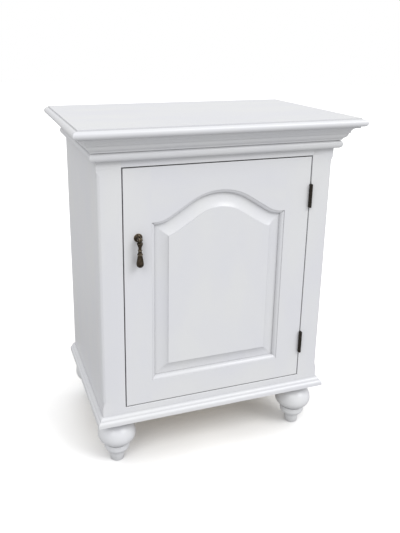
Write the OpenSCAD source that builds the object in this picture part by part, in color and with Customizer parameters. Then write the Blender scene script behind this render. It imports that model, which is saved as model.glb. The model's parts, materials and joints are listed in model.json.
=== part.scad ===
// Bedside pot cupboard: a painted wooden cupboard on four turned feet, with a moulded top and cornice,
// one inset door with an arched raised panel, two butt hinges and a bronze drop pull.
// Millimetres. Z is up, the door faces -Y, and the origin lies on the floor under the middle of the box.

/* [Carcass] */
// Width of the carcass across its sides
body_w = 440; // [380:1:560]
// Depth of the carcass from the face frame's front to its back
body_d = 295; // [240:1:400]
// Height from the floor to the flat of the top
total_h = 645; // [600:1:760]
// Thickness of the sides, the bottom board and the inner top
board_t = 18; // [15:0.5:22]
// Thickness of the back panel
back_t = 6; // [4:0.5:9]
// Width of the rebate that takes the back panel in each side
rebate_w = 8; // [6:0.5:11]

/* [Top board] */
// Thickness of the top board
top_t = 15; // [13:0.5:20]
// How far the flat of the top reaches past the carcass
top_flat_out = 32.4; // [32:0.1:45]
// Width of the small step round the flat
quirk_w = 2.3; // [1.5:0.1:4]
// Depth of the small step round the flat
quirk_h = 2.2; // [1:0.1:3.5]

/* [Cornice] */
// Reach of the fillet under the top board
fillet_out = 31.7; // [30:0.1:32]
// Height of that fillet
fillet_h = 3.1; // [2:0.1:5]
// Reach of the upper cove at its top
cove_out = 26.2; // [24:0.1:28]
// Reach of the upper cove at its foot
cove_in = 19.8; // [19:0.1:22]
// Radius of the upper cove
cove_r = 9; // [8.5:0.1:11]
// Height of the upper cove with its lower fillet
cove_h = 10.3; // [10:0.1:14]
// Reach of the ogee at its top
ogee_out = 17.6; // [13:0.1:18]
// Reach of the ogee at its foot
ogee_in = 9.8; // [8:0.1:11]
// Height of the ogee
ogee_h = 13.2; // [10:0.1:20]
// Share of the ogee that is hollow, at its foot
hollow_share = 0.3; // [0.2:0.05:0.5]
// Reach of the bead under the cornice
bead_out = 11.7; // [9:0.1:14]
// Radius of the bead
bead_r = 7.6; // [5:0.1:8.5]

/* [Base and feet] */
// Height of a turned foot
foot_h = 98.5; // [90:0.5:120]
// Distance of a foot's centre from the carcass's side, front or back
foot_inset = 31; // [29:0.5:45]
// Largest radius of the foot's bun
bun_r = 36; // [30:0.5:42]
// Radius of the round in the bun's upper side
bun_round = 29; // [26:0.5:30]
// Radius of the tighter round in the bun's lower side
bun_low_round = 18; // [16.5:0.5:20]
// Height of the bun's widest line above the floor
bun_z = 57.8; // [56:0.1:62]
// Largest radius of the ring under the bun
ring_r = 24.2; // [23:0.1:26]
// Radius of the round under the ring
ring_round = 9.5; // [8:0.1:10]
// Height of the foot of the ring's upright side
ring_z = 30; // [28:0.1:31]
// Radius of the foot where it meets the floor
tip_r = 12.9; // [11:0.1:13.2]
// Reach of the base moulding
base_out = 10.7; // [8:0.1:16]
// Height of the base moulding's lower member
base_low_h = 10.9; // [8:0.1:14]
// Radius of the lower member's rounded edge
base_round = 6; // [4:0.1:7]
// Reach of the base moulding's upper bead
base_bead_out = 6.6; // [6.5:0.1:8]
// Height and radius of the base moulding's upper bead
base_bead_r = 5.6; // [3.5:0.1:6.5]
// Size of the square blocks that hold the feet
foot_block_w = 60; // [50:1:80]

/* [Face frame] */
// Thickness of the face frame
frame_t = 20; // [18:0.5:26]
// Width of the face frame's stiles
stile_w = 42; // [36:0.5:60]
// Height of the face frame's top rail, cornice included
top_rail_h = 54; // [50:0.5:70]
// Height of the face frame's bottom rail, base moulding included
bottom_rail_h = 28.5; // [24:0.5:45]
// Width of each leg of the stopped chamfer on the front corners
chamfer = 5.3; // [3:0.1:8]
// Length of the curved stop at each end of the chamfer
stop_len = 14; // [8:0.5:24]
// Height of the chamfer's lower end above the bottom of the stile
chamfer_low = 33; // [24:0.5:80]
// Distance of the chamfer's upper end below the top of the stile
chamfer_high = 55.5; // [48:0.5:90]

/* [Shelf] */
// Thickness of the shelf
shelf_t = 16; // [12:0.5:20]
// Height of the shelf's upper face above the bottom board
shelf_up = 231; // [160:1:300]
// Height of the cleats that carry the shelf
cleat_h = 20; // [16:0.5:30]
// Width of the cleats that carry the shelf
cleat_w = 15; // [12:0.5:22]

/* [Door] */
// Gap between the door and the face frame
door_gap = 2; // [1:0.1:3]
// Thickness of the door's stiles and rails
door_t = 20; // [19:0.5:22]
// Width of the flat of the door's stiles
door_stile_w = 49; // [42:0.5:60]
// Width of the top rail's flat at the crown of the arch
door_top_w = 48.1; // [40:0.1:80]
// Width of the bottom rail's flat
door_bottom_w = 45; // [38:0.5:70]
// Lean of the arch's straight slopes, in degrees
arch_angle = 32.5204; // [30:0.1:34]
// Length of each straight slope
slope_l = 45; // [35:0.25:48]
// Radius of the arch's crown
crown_r = 105; // [85:1:115]
// Radius of the arch's hollow shoulders
shoulder_r = 50; // [38:1:55]
// Width of the rounded moulding along the door frame's inner edges
stick_w = 6.8; // [5:0.1:8]
// Depth of the small step at that moulding's outer edge
stick_step = 1.2; // [0.6:0.1:1.8]
// Width of the scooped border of the panel
scoop_w = 23.7; // [18:0.1:28]
// Height of the sharp step between the scoop and the raised field
field_step = 1.5; // [0.8:0.1:2.5]
// How far the raised field stands in front of the door's face
field_proud = 1; // [0:0.1:2]
// Thickness of the panel's tongue
tongue_t = 6; // [5:0.1:7]
// How far the panel's tongue reaches into its groove
tongue_in = 7.5; // [5:0.1:9]
// Length of the rails' tenons
tenon_l = 24; // [15:0.5:32]

/* [Hinges] */
// Length of a butt hinge
hinge_l = 44; // [40:1:60]
// Depth of a hinge leaf from the face of the door
hinge_leaf_w = 17; // [14:0.5:17]
// Thickness of a hinge leaf
leaf_t = 1.4; // [1.2:0.1:1.5]
// Radius of the hinge's barrel
barrel_r = 2.7; // [2.6:0.1:3.2]
// Radius of the hinge's pin
pin_r = 1.3; // [1.1:0.1:1.5]
// Distance of the hinge's pin in front of the door's face
pin_out = 3.6; // [3.5:0.1:5]
// Distance of each hinge's middle from the end of the door opening
hinge_in = 75; // [50:1:110]

/* [Drop pull] */
// Distance of the pull from the edge of the door
pull_in = 25; // [18:0.5:32]
// Distance of the pull's post below the foot of the arch
pull_below = 24.5; // [12:0.1:80]
// Radius of the domed rose behind the pull
rose_r = 7.8; // [6.5:0.1:10]
// Height of the rose's dome
rose_t = 4; // [3:0.1:5]
// Radius of the post's forked head
post_r = 4.2; // [4:0.1:5]
// Distance of the pull's pivot in front of the door's face
pivot_out = 11; // [10:0.1:14]
// Radius of the pull's pivot pin
pivot_r = 1.1; // [0.9:0.05:1.3]
// Length of the drop from its pivot to its lower end
drop_l = 50; // [45:0.5:65]
// Radius of the drop's bulb
drop_r = 6.4; // [4.5:0.1:6.5]
// Radius of the drop's collar
collar_r = 5.1; // [4.5:0.1:5.5]

/* [Catch] */
// Length of the magnetic catch
catch_l = 40; // [34:1:50]
// Depth of the magnetic catch
catch_d = 14; // [12:0.5:18]
// Height of the magnetic catch
catch_h = 12; // [10:0.5:16]
// Thickness of the strike plate on the door
strike_t = 1.5; // [1:0.1:2]

/* [Fits] */
// Clearance round a turning pin
run_fit = 0.05; // [0.02:0.01:0.1]
// Clearance round screws, studs, tenons and the shelf
seat_fit = 0.1; // [0.05:0.01:0.2]
// Gap between moving pieces and what they pass
move_gap = 0.3; // [0.3:0.05:0.5]

/* [Hidden] */
$fn = 96;

paint = "#e4e4e8";
bare_wood = "#d9c4a0";
bronze = "#3d342b";
steel = "#9a9a98";
plastic = "#d8d2c4";
over_cut = 1;    // how far a cut runs past the surface that it opens

// Outer sizes and levels
half_w = body_w / 2;
nosing_r = (top_t - quirk_h) / 2;
top_out = top_flat_out + quirk_w + nosing_r;
bun_behind = max(0, bun_r - foot_inset);
front_y = (top_out - body_d - bun_behind) / 2;
back_y = front_y + body_d;
inside_y = front_y + frame_t;
inside_back = back_y - back_t;
side_in = half_w - board_t;
carcass_top = total_h - top_t;
ceiling_z = carcass_top - board_t;
floor_z = foot_h + bottom_rail_h;
bottom_z = floor_z - board_t;
opening_top = carcass_top - top_rail_h;
opening_half = half_w - stile_w;
mitre_reach = top_flat_out;

// Cornice levels
cornice_z = carcass_top - fillet_h - cove_h - ogee_h;
bead_z = cornice_z - 2 * bead_r;
ogee_dx = ogee_out - ogee_in;
ogee_r = (pow(ogee_dx, 2) + pow(ogee_h, 2)) / (2 * ogee_dx);   // both radii of the ogee together
hollow_h = ogee_h * hollow_share;
hollow_r = ogee_r * hollow_share;
round_r = ogee_r - hollow_r;
cove_foot = 1;   // upright fillet under the upper cove

// Shelf levels
shelf_top = floor_z + shelf_up;
shelf_z = shelf_top - shelf_t;
cleat_z = shelf_z - cleat_h;
shelf_back_gap = 2;
shelf_set_back = 2;
shelf_front = front_y + door_t + shelf_set_back;

// Door outline
door_half = opening_half - door_gap;
door_low = floor_z + door_gap;
door_high = opening_top - door_gap;
sight_half = door_half - door_stile_w;
sight_low = door_low + door_bottom_w;
crown_z = door_high - door_top_w;
arch_sum = crown_r + shoulder_r;
arch_rise = arch_sum * (1 - cos(arch_angle)) + slope_l * sin(arch_angle);
spring_z = crown_z - arch_rise;
stick_d = stick_w + stick_step;
field_in = stick_w + scoop_w;
groove_in = tongue_in + 1;
tenon_shoulder = 8;
top_tenon = [spring_z + groove_in, door_high - tenon_shoulder];
bottom_tenon = [door_low + tenon_shoulder, sight_low - groove_in];

// Arch: a round crown and two hollow shoulders, joined by straight slopes that touch both
shoulder_x = arch_sum * sin(arch_angle) + slope_l * cos(arch_angle);
shoulder_flat = sight_half - shoulder_x;
crown_centre = crown_z - crown_r;
shoulder_centre = spring_z + shoulder_r;

// Scoop of the panel: an arc that starts level at the groove and ends at the field's step
scoop_h = stick_d + field_proud - field_step;
scoop_r = (pow(scoop_w, 2) + pow(scoop_h, 2)) / (2 * scoop_h);

// Hinges
pin_x = half_w - stile_w - door_gap / 2;
pin_y = front_y - pin_out;
hinge_zs = [door_low - door_gap + hinge_in, opening_top - hinge_in];
knuckles = 5;
knuckle_l = hinge_l / knuckles;
hinge_screw_in = 0.17 * hinge_l;
screw_r = 1.7;
screw_head_r = 3.4;
hinge_screw_l = 16;
hinge_screw_y = front_y + 0.55 * hinge_leaf_w;

// Drop pull
pull_x = -(door_half - pull_in);
pull_z = spring_z - pull_below;
pivot_y = front_y - pivot_out;
fork_slot = 3.4;
eye_t = fork_slot - 2 * move_gap;
eye_r = 3.6;
fork_back = 4.2;
post_tip = 3.6;
tip_round = 1.4;
shank_r = 2.4;
shank_end = 2;
nut_r = 5.5;
nut_t = 3.5;
washer_r = 7;
washer_t = 0.8;

// Catch
strike_y = front_y + door_t;
catch_y = strike_y + strike_t + move_gap;
catch_x = -(door_half - pull_in);
catch_z = shelf_z - catch_h;
strike_edge = 0.5;
strike_h = catch_h - 2 * strike_edge;
strike_z = catch_z + strike_edge;
magnet_wall = 3;
magnet_in = 10;
magnet_back = 4;
magnet_d = catch_d - magnet_back;
catch_screw_in = 5;
catch_grip = 8;
catch_screw_l = catch_h + catch_grip;
strike_in = 2;
strike_screw_in = 7;
strike_screw_l = 11;
small_screw_r = 1.4;
small_head_r = 2.7;

// Feet and their studs
foot_neck_r = 22;
groove_r = 20.5;
groove_h = 1.8;     // between the ring and the bun's lowest line
ring_ease = 1.5;   // round on the ring's upper edge
ring_top = bun_z - bun_low_round - groove_h;
tip_edge = 1;
tip_top_r = 13.9;
tip_top_z = 10;
stud_r = 4;
stud_in_foot = 26;
stud_in_board = 9;
foot_spots = [for (sy = [-1, 1]) for (sx = [-1, 1])
    [sx * (half_w - foot_inset), sy < 0 ? front_y + foot_inset : back_y - foot_inset]];

// Screws in the carcass
screw_in = 40;
top_screw_l = 27;
top_screw_spots = [for (sy = [-1, 1]) for (sx = [-1, 1])
    [sx * (side_in - screw_in), sy < 0 ? inside_y + screw_in : inside_back - screw_in]];
cleat_screw_l = 24;
cleat_screw_ys = [inside_y + screw_in, inside_back - screw_in];
back_screw_l = 22;
back_screw_x = side_in + rebate_w / 2;
back_screw_rows = 4;
back_screw_step = (carcass_top - foot_h - 2 * screw_in) / (back_screw_rows - 1);
back_screw_zs = [for (i = [0:back_screw_rows - 1]) foot_h + screw_in + i * back_screw_step];

// ---------------------------------------------------------------- shared shapes

module block(lo, hi) {
    translate(lo) cube(hi - lo);
}

module on_side(side) {
    mirror([side < 0 ? 1 : 0, 0, 0]) children();
}

// Countersunk screw that points down from its flat head at the origin
module screw(length, r, head_r, extra = 0) {
    head_h = head_r - r;
    translate([0, 0, -head_h]) cylinder(head_h, r + extra, head_r + extra, $fn = 32);
    translate([0, 0, -length]) cylinder(length, r = r + extra, $fn = 32);
}

// Turns a shape drawn flat, x across and y up, so that it stands and its thickness runs back from the face
module stand_at(y) {
    translate([0, y, 0]) rotate([90, 0, 0]) children();
}

// Moulding along the front, mitred at both ends; its section has x outwards and y up
module front_run() {
    intersection() {
        translate([0, front_y, 0]) rotate([90, 0, -90])
            linear_extrude(2 * (half_w + mitre_reach), center = true) children();
        linear_extrude(total_h) polygon([[-half_w, front_y], [half_w, front_y],
            [half_w + mitre_reach, front_y - mitre_reach], [-half_w - mitre_reach, front_y - mitre_reach]]);
    }
}

// Moulding along one side, mitred in front and square behind
module side_run(side) {
    on_side(side) intersection() {
        translate([half_w, 0, 0]) rotate([90, 0, 0])
            linear_extrude(2 * (body_d + mitre_reach), center = true) children();
        linear_extrude(total_h) polygon([[half_w, front_y], [half_w + mitre_reach, front_y - mitre_reach],
            [half_w + mitre_reach, back_y], [half_w, back_y]]);
    }
}

// ---------------------------------------------------------------- top, cornice and bead

// Section of the top board's edge: flat, small step and half-round nosing, from `reach` inside the face
module top_section(reach) {
    square([reach + top_flat_out, top_t]);
    square([reach + top_flat_out + quirk_w, 2 * nosing_r]);
    translate([reach + top_flat_out + quirk_w, nosing_r]) circle(nosing_r);
}

module top_board() {
    color(paint) difference() {
        translate([0, 0, carcass_top]) intersection() {
            translate([0, back_y, 0]) rotate([90, 0, -90])
                linear_extrude(2 * (half_w + 2 * top_out), center = true) top_section(body_d);
            rotate([90, 0, 0]) linear_extrude(2 * body_d + 2 * top_out, center = true) {
                top_section(half_w);
                mirror([1, 0]) top_section(half_w);
            }
        }
        top_screw_set(seat_fit);
    }
}

module ogee_section() {
    // hollow below
    difference() {
        square([ogee_in + ogee_dx * hollow_share, hollow_h]);
        translate([ogee_in + hollow_r, 0]) circle(hollow_r);
    }
    // round above
    intersection() {
        translate([0, hollow_h]) square([ogee_out, ogee_h - hollow_h]);
        union() {
            translate([ogee_out - round_r, ogee_h]) circle(round_r);
            square([ogee_out - round_r, ogee_h]);
        }
    }
}

module cove_section() {
    difference() {
        square([cove_out, cove_h]);
        translate([cove_in, -over_cut]) square([cove_out, cove_foot + over_cut]);
        translate([cove_in + cove_r, cove_foot]) circle(cove_r);
    }
}

module cornice_section() {
    translate([0, cornice_z]) ogee_section();
    translate([0, cornice_z + ogee_h]) cove_section();
    translate([0, carcass_top - fillet_h]) square([fillet_out, fillet_h]);
}

module cornice_front() {
    color(paint) front_run() cornice_section();
}

module cornice_side(side) {
    color(paint) side_run(side) cornice_section();
}

module bead_section() {
    translate([0, bead_z]) {
        square([bead_out - bead_r, 2 * bead_r]);
        translate([bead_out - bead_r, bead_r]) circle(bead_r);
    }
}

module bead_front() {
    color(paint) front_run() bead_section();
}

module bead_side(side) {
    color(paint) side_run(side) bead_section();
}

// ---------------------------------------------------------------- carcass

module side_panel(side) {
    color(paint) difference() {
        on_side(side) difference() {
            block([side_in, inside_y, foot_h], [half_w, back_y, carcass_top]);
            block([side_in - over_cut, inside_back, foot_h - over_cut],
                [side_in + rebate_w, back_y + over_cut, carcass_top + over_cut]);
        }
        back_screw_set(seat_fit);
        cleat_screw_set(seat_fit);
    }
}

module back_panel() {
    half = side_in + rebate_w - seat_fit;
    color(bare_wood) difference() {
        block([-half, inside_back, foot_h], [half, back_y, carcass_top]);
        back_screw_set(seat_fit);
    }
}

module inner_top() {
    color(bare_wood) difference() {
        block([-side_in, inside_y, ceiling_z], [side_in, inside_back, carcass_top]);
        top_screw_set(seat_fit);
    }
}

module bottom_board() {
    color(bare_wood) difference() {
        block([-side_in, inside_y, bottom_z], [side_in, inside_back, floor_z]);
        foot_stud_set(seat_fit);
    }
}

module shelf() {
    half = side_in - seat_fit;
    round_r = shelf_t / 2;
    color(bare_wood) difference() {
        union() {
            block([-half, shelf_front + round_r, shelf_z], [half, inside_back - shelf_back_gap, shelf_top]);
            translate([-half, shelf_front + round_r, shelf_z + round_r]) rotate([0, 90, 0])
                cylinder(2 * half, r = round_r);
        }
        catch_screw_set(seat_fit);
    }
}

module shelf_cleat(side) {
    color(bare_wood) difference() {
        on_side(side) block([side_in - cleat_w, shelf_front + shelf_t, cleat_z],
            [side_in, inside_back - shelf_back_gap, shelf_z]);
        cleat_screw_set(seat_fit);
    }
}

// ---------------------------------------------------------------- face frame

// Depth of the chamfer's curved stop, from 0 at its end to the full depth, as an ogee
function stop_points(from_z, to_z, depth, steps = 10) =
    [for (i = [0:steps]) [-depth * (1 - cos(180 * i / steps)) / 2, from_z + (to_z - from_z) * i / steps]];

module chamfer_cut() {
    depth = chamfer / sqrt(2);
    low = foot_h + chamfer_low;
    high = carcass_top - chamfer_high;
    outline = concat(stop_points(low, low + stop_len, depth),
        [for (i = [10:-1:0]) stop_points(high, high - stop_len, depth)[i]],
        [[chamfer, high], [chamfer, low]]);
    translate([half_w, front_y, 0]) rotate([0, 0, -45]) rotate([90, 0, 0])
        linear_extrude(4 * chamfer, center = true) polygon(outline);
}

module frame_stile(side) {
    color(paint) difference() {
        on_side(side) difference() {
            block([opening_half, front_y, foot_h], [half_w, inside_y, carcass_top]);
            chamfer_cut();
        }
        if (side > 0) {
            leaf_recesses(side);
            hinge_screw_set(side, seat_fit);
        }
    }
}

module frame_rail_top() {
    color(paint) block([-opening_half, front_y, opening_top], [opening_half, inside_y, carcass_top]);
}

module frame_rail_bottom() {
    color(paint) block([-opening_half, front_y, foot_h], [opening_half, inside_y, floor_z]);
}

// ---------------------------------------------------------------- base moulding and feet

module base_section() {
    translate([0, foot_h]) {
        // lower member
        square([base_out, base_low_h - base_round]);
        square([base_out - base_round, base_low_h]);
        translate([base_out - base_round, base_low_h - base_round]) circle(base_round);
        // bead
        square([base_bead_out - base_bead_r, base_low_h + base_bead_r]);
        translate([base_bead_out - base_bead_r, base_low_h]) circle(base_bead_r);
    }
}

module base_front() {
    color(paint) front_run() base_section();
}

module base_side(side) {
    color(paint) side_run(side) base_section();
}

// Block under the bottom board, in the corner over foot number i
module foot_block(i) {
    spot = foot_spots[i];
    x = spot[0] < 0 ? -side_in : side_in - foot_block_w;
    y = i < 2 ? inside_y : inside_back - foot_block_w;
    color(bare_wood) difference() {
        block([x, y, foot_h], [x + foot_block_w, y + foot_block_w, bottom_z]);
        foot_stud_set(seat_fit);
    }
}

// Half section of a turned foot: small tip, ring, bun and neck
module foot_section() {
    // tip
    polygon([[0, 0], [tip_r - tip_edge, 0], [tip_r, tip_edge], [tip_top_r, tip_top_z], [tip_top_r, ring_z],
        [0, ring_z]]);
    // ring, round below and upright above
    intersection() {
        union() {
            translate([ring_r - ring_round, ring_z]) circle(ring_round);
            translate([0, ring_z - ring_round]) square([ring_r - ring_round, 2 * ring_round]);
            translate([0, ring_z]) square([ring_r, ring_round]);
        }
        union() {
            square([ring_r, ring_top - ring_ease]);
            square([ring_r - ring_ease, ring_top]);
            translate([ring_r - ring_ease, ring_top - ring_ease]) circle(ring_ease);
        }
    }
    // groove between ring and bun
    translate([0, ring_z]) square([groove_r, bun_z - ring_z]);
    // bun, lower and upper half
    intersection() {
        translate([bun_r - bun_low_round, bun_z]) circle(bun_low_round);
        square([bun_r, bun_z]);
    }
    intersection() {
        translate([bun_r - bun_round, bun_z]) circle(bun_round);
        translate([0, bun_z]) square([bun_r, foot_h - bun_z]);
    }
    // neck
    translate([0, bun_z]) square([foot_neck_r, foot_h - bun_z]);
}

module foot(i) {
    color(paint) difference() {
        translate(foot_spots[i]) rotate_extrude() intersection() {
            foot_section();
            square([bun_r, foot_h]);
        }
        foot_stud_set(seat_fit);
    }
}

module foot_stud_set(extra = 0) {
    for (spot = foot_spots) translate([spot[0], spot[1], foot_h - stud_in_foot - extra])
        cylinder(stud_in_foot + bottom_z - foot_h + stud_in_board + 2 * extra, r = stud_r + extra, $fn = 48);
}

module foot_studs() {
    color(steel) foot_stud_set();
}

// ---------------------------------------------------------------- door

// Wedge that holds the crown, from the crown's centre
module crown_wedge() {
    intersection() {
        rotate(-arch_angle) translate([-2 * crown_r, 0]) square(2 * crown_r);
        rotate(arch_angle) square(2 * crown_r);
    }
}

// Wedge that holds the right shoulder, from the shoulder's centre
module shoulder_wedge() {
    intersection() {
        translate([-2 * shoulder_r, -2 * shoulder_r]) square(2 * shoulder_r);
        rotate(-arch_angle) translate([0, -2 * shoulder_r]) square(2 * shoulder_r);
    }
}

// Area under the arch, drawn `grow` outside the sight line: x across, y up
module arch_area(grow) {
    half = sight_half + grow;
    bottom = sight_low - grow;
    translate([-half, bottom]) square([2 * half, spring_z + grow - bottom]);
    translate([0, crown_centre]) intersection() {
        circle(crown_r + grow);
        crown_wedge();
    }
    for (side = [-1, 1]) mirror([side < 0 ? 1 : 0, 0]) {
        translate([0, crown_centre]) rotate(-arch_angle) square([slope_l, crown_r + grow]);
        translate([shoulder_x, shoulder_centre]) difference() {
            shoulder_wedge();
            circle(shoulder_r - grow);
        }
    }
}

// Sweeps a section along the arch; its x runs outwards from the sight line and its y forwards
module along_arch() {
    translate([0, crown_centre, 0]) intersection() {
        rotate_extrude() translate([crown_r, 0]) children();
        linear_extrude(4 * door_t, center = true) crown_wedge();
    }
    for (side = [-1, 1]) on_side(side) {
        translate([0, crown_centre, 0]) rotate([0, 0, -arch_angle]) translate([0, crown_r, 0])
            straight_run(slope_l) children();
        translate([shoulder_x, shoulder_centre, 0]) intersection() {
            rotate_extrude() translate([shoulder_r, 0]) mirror([1, 0]) children();
            linear_extrude(4 * door_t, center = true) shoulder_wedge();
        }
        translate([shoulder_x, spring_z, 0]) straight_run(shoulder_flat + tongue_in) children();
    }
}

// What the rounded moulding leaves to cut away in front of the groove
module stick_cut_section() {
    difference() {
        translate([-stick_w - over_cut, -stick_d]) square([stick_w + over_cut, stick_d + over_cut]);
        translate([0, -stick_d]) circle(stick_w);
    }
}

// The same cut with the panel's groove behind it
module stick_and_groove_section() {
    stick_cut_section();
    translate([-stick_w - over_cut, -stick_d - tongue_t]) square([groove_in + over_cut, tongue_t]);
}

// Straight run of a section along X; the section's x becomes Y and its y becomes Z
module straight_run(length) {
    rotate([90, 0, 90]) linear_extrude(length) children();
}

// Front outlines of the door's parts, with mitres where the inner mouldings meet
module door_stile_outline() {
    polygon([[door_half, door_low], [door_half, door_high], [sight_half, door_high], [sight_half, spring_z],
        [sight_half - stick_w, spring_z - stick_w], [sight_half - stick_w, sight_low + stick_w],
        [sight_half, sight_low], [sight_half, door_low]]);
}

module door_top_outline() {
    difference() {
        polygon([[-sight_half, door_high], [sight_half, door_high], [sight_half, spring_z],
            [sight_half - stick_w, spring_z - stick_w], [stick_w - sight_half, spring_z - stick_w],
            [-sight_half, spring_z]]);
        arch_area(-stick_w);
    }
}

module door_bottom_outline() {
    polygon([[-sight_half, door_low], [sight_half, door_low], [sight_half, sight_low],
        [sight_half - stick_w, sight_low + stick_w], [stick_w - sight_half, sight_low + stick_w],
        [-sight_half, sight_low]]);
}

// Groove round the panel, as deep as the tongue with room behind it
module panel_groove() {
    translate([0, 0, -stick_d - tongue_t]) linear_extrude(tongue_t) arch_area(groove_in - stick_w);
}

// Tenons on the rails' ends, as thick as the groove
module rail_tenons(low, high, fit = 0) {
    for (side = [-1, 1]) on_side(side)
        block([sight_half - over_cut, low - fit, -stick_d - tongue_t],
            [sight_half + tenon_l + fit, high + fit, -stick_d]);
}

module door_stile(side) {
    color(paint) difference() {
        stand_at(front_y) difference() {
            on_side(side) difference() {
                translate([0, 0, -door_t]) linear_extrude(door_t) door_stile_outline();
                translate([sight_half, door_high, 0]) rotate([0, 0, -90])
                    straight_run(door_high - door_low) stick_cut_section();
            }
            panel_groove();
            rail_tenons(top_tenon[0], top_tenon[1], seat_fit);
            rail_tenons(bottom_tenon[0], bottom_tenon[1], seat_fit);
        }
        if (side > 0) {
            leaf_recesses(-1);
            hinge_screw_set(-1, seat_fit);
        } else {
            pull_hole();
            strike_screw_set(seat_fit);
        }
    }
}

module door_rail_top() {
    color(paint) stand_at(front_y) {
        difference() {
            translate([0, 0, -door_t]) linear_extrude(door_t) door_top_outline();
            along_arch() stick_and_groove_section();
        }
        rail_tenons(top_tenon[0], top_tenon[1]);
    }
}

module door_rail_bottom() {
    color(paint) stand_at(front_y) {
        difference() {
            translate([0, 0, -door_t]) linear_extrude(door_t) door_bottom_outline();
            translate([-sight_half, sight_low, 0]) mirror([0, 1, 0])
                straight_run(2 * sight_half) stick_cut_section();
            panel_groove();
        }
        rail_tenons(bottom_tenon[0], bottom_tenon[1]);
    }
}

// What the scoop and its step leave to cut away round the raised field
module scoop_cut_section() {
    difference() {
        translate([-field_in, -stick_d]) square([field_in + groove_in, stick_d + field_proud + over_cut]);
        difference() {
            translate([-field_in, -stick_d]) square([scoop_w, scoop_h]);
            translate([-stick_w, scoop_r - stick_d]) circle(scoop_r);
        }
    }
}

module door_panel() {
    edge = tongue_in - stick_w;
    color(paint) stand_at(front_y) {
        translate([0, 0, -stick_d - tongue_t]) linear_extrude(tongue_t) arch_area(edge);
        difference() {
            translate([0, 0, -stick_d - over_cut]) linear_extrude(stick_d + over_cut + field_proud)
                arch_area(-stick_w);
            along_arch() scoop_cut_section();
            for (side = [-1, 1]) on_side(side) translate([sight_half, crown_z, 0]) rotate([0, 0, -90])
                straight_run(crown_z - sight_low) scoop_cut_section();
            translate([-sight_half, sight_low, 0]) mirror([0, 1, 0])
                straight_run(2 * sight_half) scoop_cut_section();
        }
    }
}

// ---------------------------------------------------------------- hinges

// The side is 1 for the leaf on the frame and -1 for the leaf on the door
module leaf_plate(side, z) {
    near = pin_x + side * door_gap / 2;
    far = near + side * leaf_t;
    block([min(near, far), pin_y, z - hinge_l / 2],
        [max(near, far), front_y + hinge_leaf_w, z + hinge_l / 2]);
}

module leaf_recesses(side) {
    for (z = hinge_zs) leaf_plate(side, z);
}

// Knuckles number 0, 2 and 4 belong to the frame's leaf, 1 and 3 to the door's
function knuckle_owner(i) = i % 2 == 0 ? 1 : -1;

module knuckle(i, z, r, trim) {
    translate([pin_x, pin_y, z - hinge_l / 2 + i * knuckle_l + trim])
        cylinder(knuckle_l - 2 * trim, r = r, $fn = 48);
}

module hinge_leaf(side, z) {
    color(bronze) difference() {
        union() {
            leaf_plate(side, z);
            for (i = [0:knuckles - 1]) if (knuckle_owner(i) == side) knuckle(i, z, barrel_r, move_gap / 2);
        }
        for (i = [0:knuckles - 1]) if (knuckle_owner(i) != side)
            knuckle(i, z, barrel_r + move_gap, -move_gap / 2);
        translate([pin_x, pin_y, z - hinge_l]) cylinder(2 * hinge_l, r = pin_r + run_fit, $fn = 48);
        hinge_screw_set(side, seat_fit);
    }
}

module hinge_pin(z) {
    color(bronze) translate([pin_x, pin_y, z - hinge_l / 2 + move_gap])
        cylinder(hinge_l - 2 * move_gap, r = pin_r, $fn = 48);
}

module hinge_screw_set(side, extra = 0) {
    for (z = hinge_zs) for (step = [-1, 0, 1])
        translate([pin_x + side * door_gap / 2, hinge_screw_y, z + step * (hinge_l / 2 - hinge_screw_in)])
            rotate([0, side * -90, 0]) screw(hinge_screw_l, screw_r, screw_head_r, extra);
}

module hinge_screws(side) {
    color(bronze) hinge_screw_set(side);
}

// ---------------------------------------------------------------- drop pull

module pull_hole() {
    translate([pull_x, front_y - over_cut, pull_z]) rotate([-90, 0, 0])
        cylinder(door_t + 2 * over_cut, r = shank_r + seat_fit, $fn = 48);
}

// Domed rose, a slice of a ball
module pull_rose() {
    ball_r = (pow(rose_r, 2) + pow(rose_t, 2)) / (2 * rose_t);
    color(bronze) translate([pull_x, front_y, pull_z]) rotate([90, 0, 0]) difference() {
        rotate_extrude() intersection() {
            translate([0, rose_t - ball_r]) circle(ball_r);
            square([rose_r, rose_t]);
        }
        translate([0, 0, -over_cut]) cylinder(rose_t + 2 * over_cut, r = shank_r + seat_fit, $fn = 48);
    }
}

// Half section of the post's head, with a rounded front edge
module post_head_section() {
    front = pivot_out + post_tip;
    square([shank_r, front]);
    translate([0, rose_t]) square([post_r, front - tip_round - rose_t]);
    translate([0, rose_t]) square([post_r - tip_round, front - rose_t]);
    translate([post_r - tip_round, front - tip_round]) circle(tip_round, $fn = 32);
}

// Shank through the door with a forked head in front of the rose
module pull_post() {
    color(bronze) translate([pull_x, front_y, pull_z]) rotate([90, 0, 0]) difference() {
        union() {
            translate([0, 0, -door_t - nut_t - shank_end])
                cylinder(door_t + nut_t + shank_end + rose_t, r = shank_r, $fn = 48);
            rotate_extrude() post_head_section();
        }
        translate([-fork_slot / 2, -2 * post_r, pivot_out - fork_back])
            cube([fork_slot, 4 * post_r, 4 * post_r]);
        translate([-2 * post_r, 0, pivot_out]) rotate([0, 90, 0])
            cylinder(4 * post_r, r = pivot_r + run_fit, $fn = 32);
    }
}

module pull_nut() {
    color(steel) translate([pull_x, front_y + door_t, pull_z]) rotate([-90, 0, 0]) difference() {
        union() {
            cylinder(nut_t, r = nut_r, $fn = 6);
            cylinder(washer_t, r = washer_r, $fn = 48);
        }
        translate([0, 0, -over_cut]) cylinder(nut_t + 2 * over_cut, r = shank_r + seat_fit, $fn = 48);
    }
}

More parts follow.
